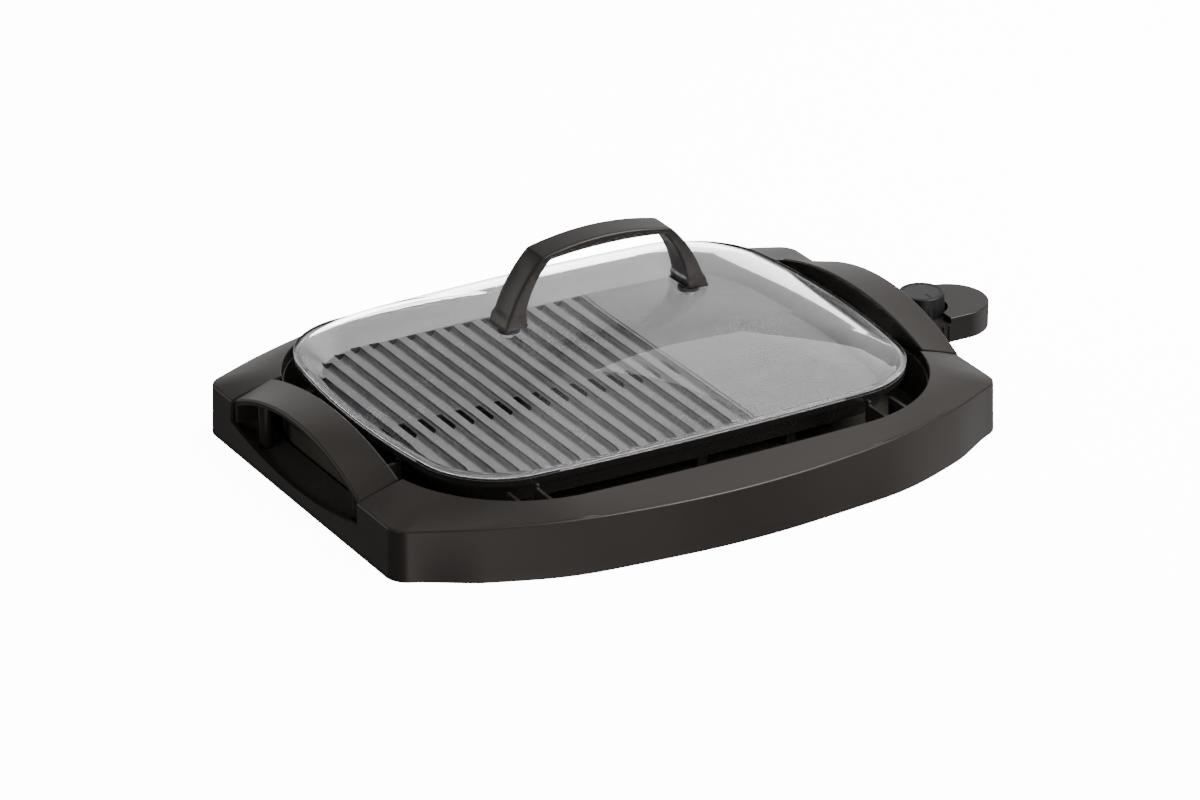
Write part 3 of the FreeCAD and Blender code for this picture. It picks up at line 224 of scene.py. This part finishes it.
def around(outline, turns):
    """Points of an outline at the given polar angles, and its outward normals there."""
    angle = np.unwrap(np.arctan2(outline[:, 1], outline[:, 0]))
    order = np.concatenate([angle - 2 * math.pi, angle, angle + 2 * math.pi])
    reach = np.tile(np.hypot(outline[:, 0], outline[:, 1]), 3)
    def at(turn):
        r = np.interp(turn, order, reach)
        return np.stack([r * np.cos(turn), r * np.sin(turn)], -1)
    points = at(turns)
    step = 1e-3
    along = at(turns + step) - at(turns - step)
    along /= np.linalg.norm(along, axis=1)[:, None]
    return points, np.stack([along[:, 1], -along[:, 0]], -1)


def mesh_object(name, points, faces, smooth=40):
    mesh = bpy.data.meshes.new(name)
    mesh.from_pydata([tuple(p) for p in np.asarray(points) * MM], [], faces)
    mesh.update()
    made = bpy.data.objects.new(name, mesh)
    bpy.context.scene.collection.objects.link(made)
    soften(made, smooth)
    return made


def soften(made, degrees):
    """Smooth shading with edges sharper than the angle kept crisp."""
    mesh = made.data
    mesh.polygons.foreach_set("use_smooth", [True] * len(mesh.polygons))
    tidy = bmesh.new()
    tidy.from_mesh(mesh)
    bmesh.ops.recalc_face_normals(tidy, faces=tidy.faces)
    limit = math.radians(degrees)
    for edge in tidy.edges:
        edge.smooth = len(edge.link_faces) == 2 and edge.calc_face_angle(0) < limit
    tidy.to_mesh(mesh)
    tidy.free()


def ring_faces(rings, count, loop=True):
    """Quads between consecutive rings of count points; loop joins the last ring to the first."""
    faces = []
    last = rings if loop else rings - 1
    for i in range(last):
        j = (i + 1) % rings
        for k in range(count):
            n = (k + 1) % count
            faces.append((i * count + k, i * count + n, j * count + n, j * count + k))
    return faces


def finish_piece(made, body, slot, key, *replaced):
    made.data.materials.append(MATERIALS[key])
    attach(made, body)
    if replaced:
        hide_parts(*replaced)
    return made


# ---------------------------------------------------------------- lid


LID = {"length": 205.1, "width": 153.3, "side": 2900.0, "corner": 64.2, "end": 620.0}
DOME_LOW, DOME_RISE, DOME_POWER = 58.4, 45.0, 2.5
DOME_INSET = 2.6
GLASS = 3.4
OVAL_SIDE, OVAL_CORNER = 236.0, 118.0
BLEND_END = 0.9
BEAD = (
    (1.5, 59.5), (0.75, 59.3), (0.25, 58.8), (0.0, 58.0), (0.0, 57.0), (0.2, 56.1), (0.8, 55.45),
    (1.6, 55.2), (3.0, 55.2), (3.9, 55.5), (4.5, 56.0),
)


def dome_height(f):
    return DOME_LOW + DOME_RISE * (1 - f**DOME_POWER)


def dome_at(x, y):
    """Height of the dome's outer surface over a point of the plan."""
    outline = bowed(LID["length"], LID["width"], LID["side"], LID["corner"], LID["end"])
    turn = math.atan2(y, x)
    edge = around(outline, np.array([turn]))[0][0]
    f = math.hypot(x, y) / (np.hypot(*edge) - DOME_INSET)
    return dome_height(min(f, 1.0))


def lid_turns():
    even = np.linspace(-math.pi, math.pi, 288, endpoint=False)
    corner = math.atan2(135, 188)
    dense = np.concatenate([np.linspace(c - 0.16, c + 0.16, 40) for c in
                            (corner, math.pi - corner, -corner, corner - math.pi)])
    return np.unique(np.round(np.concatenate([even, dense]), 5))


def glass_lid():
    """The dome and its rounded bead as one closed skin of even thickness."""
    turns = lid_turns()
    count = len(turns)
    edge, out = around(bowed(LID["length"], LID["width"], LID["side"], LID["corner"], LID["end"]), turns)
    shrunk = edge - out * DOME_INSET
    factors = np.concatenate(
        [np.linspace(0.03, 0.6, 16), np.linspace(0.63, 0.94, 16), np.linspace(0.95, 1.0, 7)])
    oval = bowed(LID["length"] - DOME_INSET, LID["width"] - DOME_INSET, OVAL_SIDE, OVAL_CORNER,
                 STRAIGHT)
    oval = around(oval, turns)[0]
    outer = []
    for f in factors:
        ease = min(1.0, f / BLEND_END)
        blend = ease**2 * (3 - 2 * ease)
        plan = (shrunk * blend + oval * (1 - blend)) * f
        outer.append(np.column_stack([plan, np.full(count, dome_height(f))]))
    rim = [np.column_stack([edge - out * d, np.full(count, z)]) for d, z in BEAD]
    grid = np.array(outer)
    along = np.gradient(grid, axis=0)
    across = np.roll(grid, -1, axis=1) - np.roll(grid, 1, axis=1)
    normal = np.cross(along, across)
    normal /= np.linalg.norm(normal, axis=2)[:, :, None]
    normal *= np.sign(normal[:, :, 2:3])
    inner = list((grid - normal * GLASS)[:-2][::-1])
    rings = outer + rim + inner
    points = np.concatenate(rings + [[[0, 0, dome_height(0)]], [[0, 0, dome_height(0) - GLASS]]])
    faces = ring_faces(len(rings), count, loop=False)
    top, low, last = len(rings) * count, len(rings) * count + 1, (len(rings) - 1) * count
    for k in range(count):
        n = (k + 1) % count
        faces.append((top, n, k))
        faces.append((low, last + k, last + n))
    made = mesh_object("glass_dome", points, faces, 80)
    finish_piece(made, "lid", "lid_glass", "glass", "lid_glass")


def bridge_line(leg, crown, bow, corner, samples):
    """Half of the bridge's outline from the foot up to the middle, as points (x, z)."""
    (ax, ay), (bx, by), (cx, cy) = leg
    d = 2 * (ax * (by - cy) + bx * (cy - ay) + cx * (ay - by))
    ux = ((ax**2 + ay**2) * (by - cy) + (bx**2 + by**2) * (cy - ay) + (cx**2 + cy**2) * (ay - by)) / d
    uy = ((ax**2 + ay**2) * (cx - bx) + (bx**2 + by**2) * (ax - cx) + (cx**2 + cy**2) * (bx - ax)) / d
    leg_r = math.hypot(ax - ux, ay - uy)
    top = (0.0, crown - bow)
    span = math.hypot(ux - top[0], uy - top[1])
    reach_a, reach_b = bow - corner, leg_r - corner
    along = (reach_a**2 - reach_b**2 + span**2) / (2 * span)
    off = math.sqrt(reach_a**2 - along**2)
    dx, dy = (ux - top[0]) / span, (uy - top[1]) / span
    options = [(top[0] + dx * along - s * dy * off, top[1] + dy * along + s * dx * off) for s in (-1, 1)]
    mid = max(options, key=lambda c: c[0] + c[1])
    foot, knee = math.atan2(ay - uy, ax - ux), math.atan2(mid[1] - uy, mid[0] - ux)
    turn = math.atan2(mid[1] - top[1], mid[0] - top[0])
    pieces = []
    arcs = (
        ((ux, uy), leg_r, foot, knee, samples[0]),
        (mid, corner, knee, turn, samples[1]),
        (top, bow, turn, math.pi / 2, samples[2]),
    )
    for (x, y), r, start, stop, n in arcs:
        t = np.linspace(start, stop, n, endpoint=False)
        pieces.append(np.stack([x + r * np.cos(t), y + r * np.sin(t)], -1))
    pieces.append([[0.0, crown]])
    return np.concatenate(pieces)


def bridge_handle():
    """The lid's bridge grip: crisp edges, hollowed outer faces on the legs and a collar at each foot."""
    samples = (40, 9, 26)
    outer = bridge_line(((84.6, 94), (71.7, 127.6), (54, 150)), 157.0, 219.0, 5.0, samples)
    inner = bridge_line(((68.3, 94), (62.4, 124.8), (47, 147.2)), 150.0, 400.0, 4.0, samples)
    outer = np.concatenate([outer, (outer * [-1, 1])[::-1][1:]])
    inner = np.concatenate([inner, (inner * [-1, 1])[::-1][1:]])
    stations, half = len(outer), 12.1
    rings = []
    for i in range(stations):
        o, n = outer[i], inner[i]
        thick = np.linalg.norm(o - n)
        toward = (n - o) / thick
        leg = max(0.0, min(1.0, (146 - o[1]) / 10))
        flare = 1.3 * max(0.0, min(1.0, (108.5 - o[1]) / 1.2))
        hollow = 0.9 * leg * (1 - min(1.0, flare))
        r_out, r_in = 1.5, 1.3
        ring = []
        wide, deep, top = half + flare, thick + flare * 0.8, -flare * 0.8
        for v in np.linspace(-1, 1, 13):
            dip = 1 - (v * 1.15) ** 2 if abs(v) < 0.87 else 0.0
            ring.append((v * (wide - r_out), top + hollow * dip))
        near_arcs = ((wide - r_out, top + r_out, r_out, -90), (wide - r_in, deep - r_in, r_in, 0))
        far_arcs = ((r_in - wide, deep - r_in, r_in, 90), (r_out - wide, top + r_out, r_out, 180))
        for cy, cd, r, start in near_arcs:
            for turn in np.radians(np.linspace(start, start + 90, 5)[1 if start < 0 else 0:]):
                ring.append((cy + r * math.cos(turn), cd + r * math.sin(turn)))
        for v in np.linspace(1, -1, 7)[1:-1]:
            ring.append((v * (wide - r_in), deep))
        for cy, cd, r, start in far_arcs:
            for turn in np.radians(np.linspace(start, start + 90, 5)[:-1 if start > 90 else 5]):
                ring.append((cy + r * math.cos(turn), cd + r * math.sin(turn)))
        ring = [(o[0] + toward[0] * d, y, o[1] + toward[1] * d) for y, d in ring]
        rings.append(ring)
    grid = np.array(rings)
    for end in (0, -1):
        for k, (x, y, z) in enumerate(grid[end]):
            grid[end][k][2] = dome_at(x, y) + 0.9
    low_z = {0: grid[0], -1: grid[-1]}
    for i in range(1, 12):
        for side, base in ((i, low_z[0]), (-1 - i, low_z[-1])):
            grid[side][:, 2] = np.maximum(grid[side][:, 2], base[:, 2] + 0.35 * i)
    count = grid.shape[1]
    faces = ring_faces(stations, count, loop=False)
    faces.append(tuple(range(count))[::-1])
    faces.append(tuple((stations - 1) * count + k for k in range(count)))
    made = mesh_object("bridge_handle", grid.reshape(-1, 3), faces, 50)
    finish_piece(made, "lid", "handle_plastic", "handle", "lid_handle")


# ---------------------------------------------------------------- base


BASE = {"length": 250.0, "width": 202.0, "side": 560.0, "corner": 18.0, "end": STRAIGHT}
OPENING = {"length": 217.0, "width": 175.3, "side": 3000.0, "corner": 106.0, "end": STRAIGHT}
BASE_Y = -8.5
NOTCH = 98.0
STRETCH, SHIFT = 0.0032, 1.8
FLARE_LOSS = 0.75


def base_turns():
    even = np.linspace(-math.pi, math.pi, 480, endpoint=False)
    corner = 0.531
    corners = (corner, -corner, math.pi - corner, corner - math.pi)
    marks = [np.linspace(c - 0.05, c + 0.05, 50) for c in corners]
    return np.unique(np.round(np.concatenate([even, *marks]), 5))


def flare(x):
    """How far the front and back walls lean out at their lower edge."""
    x = np.abs(x)
    ease = np.clip((238 - x) / 45, 0, 1)
    return (6.8 + 4.0 * np.exp(-((x - 140) / 45) ** 2)) * ease**2 * (3 - 2 * ease)


def base_shell():
    """Walls, sloping deck and skirt as one ring; the end notches are then cut out of it."""
    turns = base_turns()
    count = len(turns)
    wall, wall_out = around(bowed(*BASE.values()), turns)
    well, well_out = around(bowed(*OPENING.values()), turns)
    centre = np.array([0, BASE_Y])

    def ring(points, z):
        return np.column_stack([points + centre, np.full(count, z)])

    def at_wall(inset, z):
        lean = flare(wall[:, 0]) * (1 - FLARE_LOSS * (z - 1) / 38.5)
        shift = np.column_stack([wall[:, 0] * STRETCH - SHIFT, np.sign(wall_out[:, 1]) * lean])
        return ring(wall - wall_out * inset + shift, z)

    def at_well(inset, z):
        return ring(well - well_out * inset, z)

    def deck(share, lift=0.0):
        low, high = at_wall(1.2, 39.5), at_well(0, 50.0)
        return low * (1 - share) + high * share + [0, 0, lift]

    rings = [at_wall(2.0, 1.0), at_wall(0.4, 1.0), at_wall(0.05, 1.4), at_wall(0.02, 2.2)]
    rings += [at_wall(1.2 * z / 38.5, z) for z in (8, 14, 20, 26, 32, 36, 37.8, 38.2)]
    edge = 1.6
    for tilt in np.radians(np.linspace(2, 70, 7)):
        rings.append(at_wall(1.2 + edge * (1 - math.cos(tilt)),
                             39.5 + edge * (math.sin(tilt) - 0.68)))
    shares = np.concatenate([[0.075, 0.11], np.linspace(0.18, 0.95, 11)])
    rings += [deck(share, 0.35 * math.sin(math.pi * share)) for share in shares]
    rings += [deck(0.985, 0.02), at_well(0.0, 49.55), at_well(0.0, 48.6)]
    rings += [at_well(0, z) for z in (44, 38, 32, 26)]
    rings += [at_well(-2.5, 26), at_well(-2.5, 36), at_well(-2.5, 45.0)]
    rings += [deck(share, -3.2) for share in (0.8, 0.5, 0.22)]
    rings += [at_wall(4.0, 36.0), at_wall(3.6, 20), at_wall(3.0, 2.5)]
    made = mesh_object("base_shell", np.concatenate(rings), ring_faces(len(rings), count), 30)
    tools = []
    for sign in (-1, 1):
        tools.append(block(sign, (210, 262), (-NOTCH, NOTCH), (44, 90)))
        tools.append(block(sign, (220, 246.7), (-NOTCH, NOTCH), (10.5, 90)))
        tools.append(dip_tool(sign))
    tools.append(block(1, (214, 222), (-28.2, 28.2), (10.9, 36.2)))
    for tool in tools:
        carve(made, tool)
    soften(made, 28)
    finish_piece(made, "base", "body_plastic", "body", "base_frame")


def block(sign, x, y, z):
    x = sorted(sign * v for v in x)
    plan = ((x[0], y[0]), (x[1], y[0]), (x[1], y[1]), (x[0], y[1]))
    corners = [(a, b, c) for c in z for a, b in plan]
    faces = [(3, 2, 1, 0), (4, 5, 6, 7), (0, 1, 5, 4), (1, 2, 6, 5), (2, 3, 7, 6), (3, 0, 4, 7)]
    return mesh_object("tool", corners, faces)


def dip_tool(sign):
    """Everything above the shallow curve that forms the lower edge of a grip's opening."""
    low, radius = 12.5, 452.6
    y = np.linspace(-NOTCH, NOTCH, 61)
    edge = [(v, low + radius - math.sqrt(radius**2 - v**2)) for v in y] + [(NOTCH, 90), (-NOTCH, 90)]
    n = len(edge)
    xs = (sign * 240, sign * 262)
    points = [(x, a, b) for x in xs for a, b in edge]
    faces = [tuple(range(n)), tuple(range(2 * n - 1, n - 1, -1))]
    faces += [(k, (k + 1) % n, n + (k + 1) % n, n + k) for k in range(n)]
    return mesh_object("tool", points, faces)


def carve(made, tool):
    cutter = made.modifiers.new("cut", "BOOLEAN")
    cutter.operation = "DIFFERENCE"
    cutter.solver = "EXACT"
    cutter.object = tool
    bpy.context.view_layer.update()
    graph = bpy.context.evaluated_depsgraph_get()
    result = bpy.data.meshes.new_from_object(made.evaluated_get(graph))
    made.modifiers.clear()
    made.data = result
    bpy.data.objects.remove(tool)


def rounded_prism(name, section, axis, span, body, slot, key, bevel=0.4):
    """A plate cut to an outline and given softened edges; axis says which way it is thick."""
    n = len(section)
    ends = []
    for level in span:
        for a, b in section:
            ends.append({"x": (level, a, b), "y": (a, level, b), "z": (a, b, level)}[axis])
    faces = [tuple(range(n)), tuple(range(2 * n - 1, n - 1, -1))]
    faces += [(k, (k + 1) % n, n + (k + 1) % n, n + k) for k in range(n)]
    made = mesh_object(name, ends, faces)
    soft = made.modifiers.new("soft", "BEVEL")
    soft.width, soft.segments, soft.limit_method = bevel * MM, 2, "ANGLE"
    return finish_piece(made, body, slot, key)


def base_details():
    """Floors and side walls of the grip pockets, and the ribs that guide the plate in the well."""
    for sign, side in ((-1, "left"), (1, "right")):
        low, high = sorted((sign * 219.6, sign * 247.2))
        plan = [(low, -100.4), (high, -100.4), (high, 100.4), (low, 100.4)]
        # pocket floors and walls take the lighter body colour, painted light
        rounded_prism(f"{side}_pocket_floor", plan, "z", (8.0, 10.5), "base", "body_plastic", "inner")
        near, far = sign * 218.5, sign * 247.6
        slope = [(near, 8.2), (far, 8.2), (far, 37.6), (near, 46.6)]
        for y, part in ((-100.5, "front"), (98.0, "back")):
            rounded_prism(f"{side}_pocket_{part}", slope, "y", (y, y + 2.5), "base", "body_plastic",
                          "inner", 0.2)
        for y in (-65, 65):
            step = [(sign * 199.1, 32), (sign * 217.6, 32), (sign * 217.6, 46), (sign * 202.6, 46),
                    (sign * 202.4, 49.1), (sign * 199.1, 49.1)]
            part = "front" if y < 0 else "back"
            rounded_prism(f"{side}_end_rib_{part}", step, "y", (y - 1.4, y + 1.4), "base",
                          "body_plastic", "body")
        for number, (x, tip, wall) in enumerate(((137, 147.5, 172.0), (158, 145.4, 164.5))):
            for way, part in ((-1, "front"), (1, "back")):
                end = way * wall + BASE_Y + way * 0.6
                step = [(way * tip, 32), (end, 32), (end, 46)]
                if number == 0:
                    step += [(way * (tip + 4.2), 46), (way * (tip + 4), 49.1), (way * tip, 49.1)]
                else:
                    step += [(way * tip, 46)]
                rounded_prism(f"{side}_{part}_rib_{number}", step, "x",
                              (sign * x - 1.4, sign * x + 1.4), "base", "body_plastic", "body")


# ---------------------------------------------------------------- camera, light and floor


def camera():
    turn, lift, far, lens = math.radians(-30.04), math.radians(24.96), 4.124, 169.0
    right = Vector((math.cos(turn), math.sin(turn), 0))
    back = Vector((math.sin(turn) * math.cos(lift), -math.cos(turn) * math.cos(lift), math.sin(lift)))
    up = back.cross(right)
    data = bpy.data.cameras.new("camera")
    data.lens = lens
    data.sensor_width = 36.0
    data.clip_end = 50
    made = bpy.data.objects.new("camera", data)
    made.location = back * far + right * 0.00044 + up * 0.0191
    made.rotation_euler = back.to_track_quat("Z", "Y").to_euler()
    bpy.context.scene.collection.objects.link(made)
    bpy.context.scene.camera = made


def lamp(name, place, target, size, power):
    data = bpy.data.lights.new(name, "AREA")
    data.shape = "RECTANGLE"
    data.size, data.size_y = size
    data.energy = power
    made = bpy.data.objects.new(name, data)
    made.location = place
    made.rotation_euler = (Vector(place) - Vector(target)).to_track_quat("Z", "Y").to_euler()
    made.visible_glossy = False
    bpy.context.scene.collection.objects.link(made)


def towards(tree, place, direction, low, high, start, stop):
    """A smooth rise of strength as a ray turns towards a direction."""
    lean = tree.nodes.new("ShaderNodeVectorMath")
    lean.operation = "DOT_PRODUCT"
    lean.inputs[1].default_value = Vector(direction).normalized()
    tree.links.new(place.outputs["Generated"], lean.inputs[0])
    level = node_value(tree, "ShaderNodeMapRange", From_Min=start, From_Max=stop, To_Min=low, To_Max=high)
    level.interpolation_type = "SMOOTHSTEP"
    tree.links.new(lean.outputs["Value"], level.inputs["Value"])
    return level.outputs["Result"]


def joined(tree, operation, first, second):
    both = tree.nodes.new("ShaderNodeMath")
    both.operation = operation
    tree.links.new(first, both.inputs[0])
    tree.links.new(second, both.inputs[1])
    return both.outputs[0]


def sky():
    """A plain sky: bright behind and to the right, dim to the left and near the ground."""
    world = bpy.data.worlds.new("studio")
    world.use_nodes = True
    tree = world.node_tree
    place = tree.nodes.new("ShaderNodeTexCoord")
    back = towards(tree, place, (0.65, 0.75, 0.0), 0.07, 0.80, 0.60, 1.0)
    ground = towards(tree, place, (0, 0, 1), 0.40, 1.0, -0.5, 0.0)
    above = towards(tree, place, (0.50, 0.10, 0.86), 0.0, 1.25, 0.86, 1.0)
    side = towards(tree, place, (0.92, -0.30, -0.40), 0.0, 0.8, 0.76, 1.0)
    front = towards(tree, place, (-0.10, -0.90, -0.42), 0.0, 1.3, 0.84, 1.0)
    left = towards(tree, place, (-0.60, 0.78, 0.08), 0.0, 0.9, 0.86, 1.0)
    crest = towards(tree, place, (0.45, -0.62, 0.64), 0.0, 14.0, 0.93, 1.0)
    total = joined(tree, "MULTIPLY", back, ground)
    for level in (above, side, front, left, crest):
        total = joined(tree, "ADD", total, level)
    sheet = tree.nodes["Background"]
    sheet.inputs["Color"].default_value = (1, 1, 1, 1)
    tree.links.new(total, sheet.inputs["Strength"])
    bpy.context.scene.world = world


def studio():
    sky()
    lamp("key_light", (-0.5, -1.2, 1.8), (0, 0, 0), (1.8, 1.4), 7)
    lamp("side_light", (0.95, 0.15, 0.95), (0.1, 0, 0), (0.9, 0.9), 15)
    lamp("left_fill", (-1.3, -0.5, 0.45), (-0.2, 0, 0), (0.7, 0.5), 6)
    mesh = bpy.data.meshes.new("floor")
    reach = 14.0
    corners = [(-reach, -reach, 0), (reach, -reach, 0), (reach, reach, 0), (-reach, reach, 0)]
    mesh.from_pydata(corners, [], [(0, 1, 2, 3)])
    floor = bpy.data.objects.new("floor", mesh)
    floor.visible_glossy = False
    floor.visible_diffuse = False
    bpy.context.scene.collection.objects.link(floor)
    floor.data.materials.append(material("floor", (0.9, 0.9, 0.9), 0.8, tint=0.004, bump=0.0))
    shader = floor.data.materials[0].node_tree.nodes["Principled BSDF"]
    shader.inputs["Emission Color"].default_value = (1, 1, 1, 1)
    shader.inputs["Emission Strength"].default_value = 13.0


glass_lid()
bridge_handle()
base_shell()
base_details()
camera()
studio()
